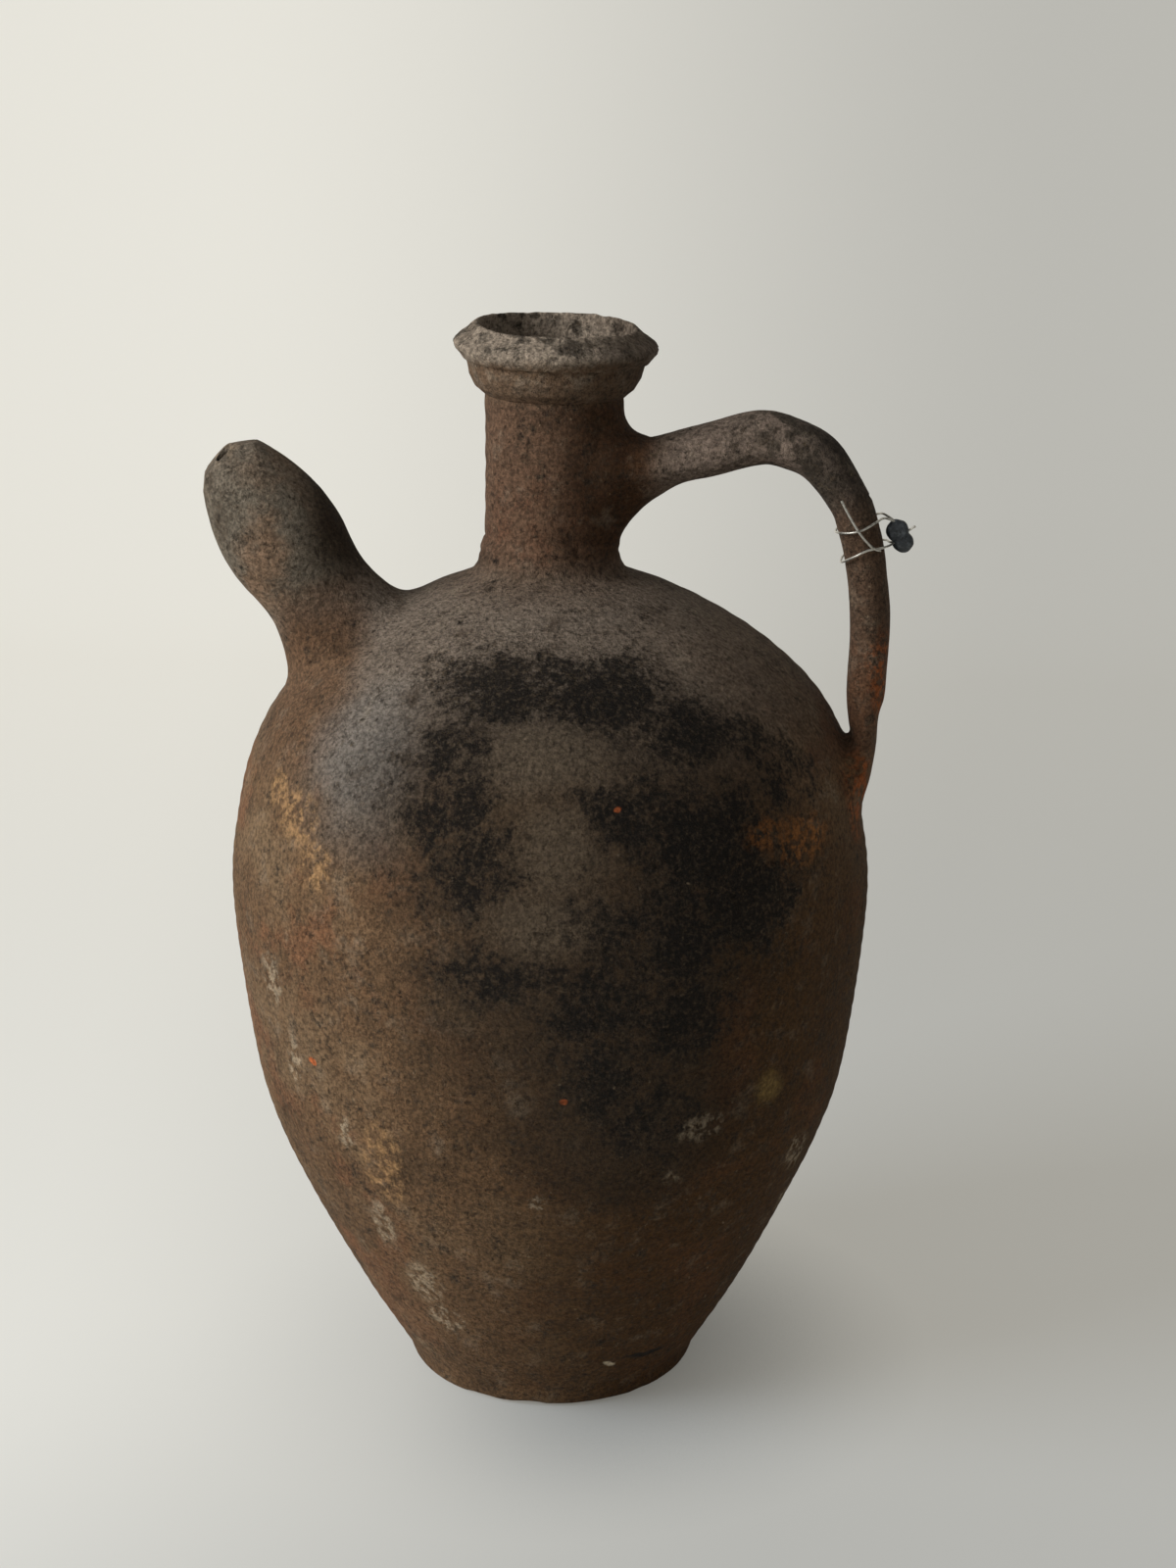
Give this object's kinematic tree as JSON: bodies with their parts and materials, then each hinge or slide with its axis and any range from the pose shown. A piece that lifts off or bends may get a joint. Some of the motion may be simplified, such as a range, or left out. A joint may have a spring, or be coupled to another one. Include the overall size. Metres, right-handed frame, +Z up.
{
  "type": "spouted water jug",
  "caption": "Upright unglazed clay water jug with a flanged mouth, a bulbous pouring spout and a strap handle that carries a wire tie with a lead seal.",
  "frame": {"origin": "centre of the underside of the foot, on the axis of the body", "axes": "+Z up along the axis of the body, +X towards the handle, so the spout points almost to -X, 10 degrees towards -Y"},
  "size_m": [0.2751, 0.2572, 0.4319],
  "materials": {
    "clay": "matt, coarse, fired dark in places",
    "wire": "dull",
    "lead": "dull grey lead"
  },
  "bodies": {
    "jug": {"foot": "clay", "lower_body": "clay", "upper_body": "clay", "neck": "clay", "collar": "clay", "spout": "clay", "handle": "clay", "handle_pad": "clay", "handle_web": "clay"},
    "tie": {"tie_wire": "wire"},
    "seal": {"lead_seal": "lead", "seal_wire_upper": "wire", "seal_wire_lower": "wire", "seal_wire_end": "wire"}
  },
  "joints": [
    {"name": "tie_slide", "type": "slide", "parent": "jug", "child": "tie", "axis": [-0.2484, 0, 0.9687], "range_m": [-0.004, 0.004]},
    {"name": "seal_swing", "type": "hinge", "parent": "tie", "child": "seal", "pos_m": [0.13197, 0, 0.35205], "axis": [-0.2484, 0, 0.9687], "range_deg": [-15, 15]}
  ]
}
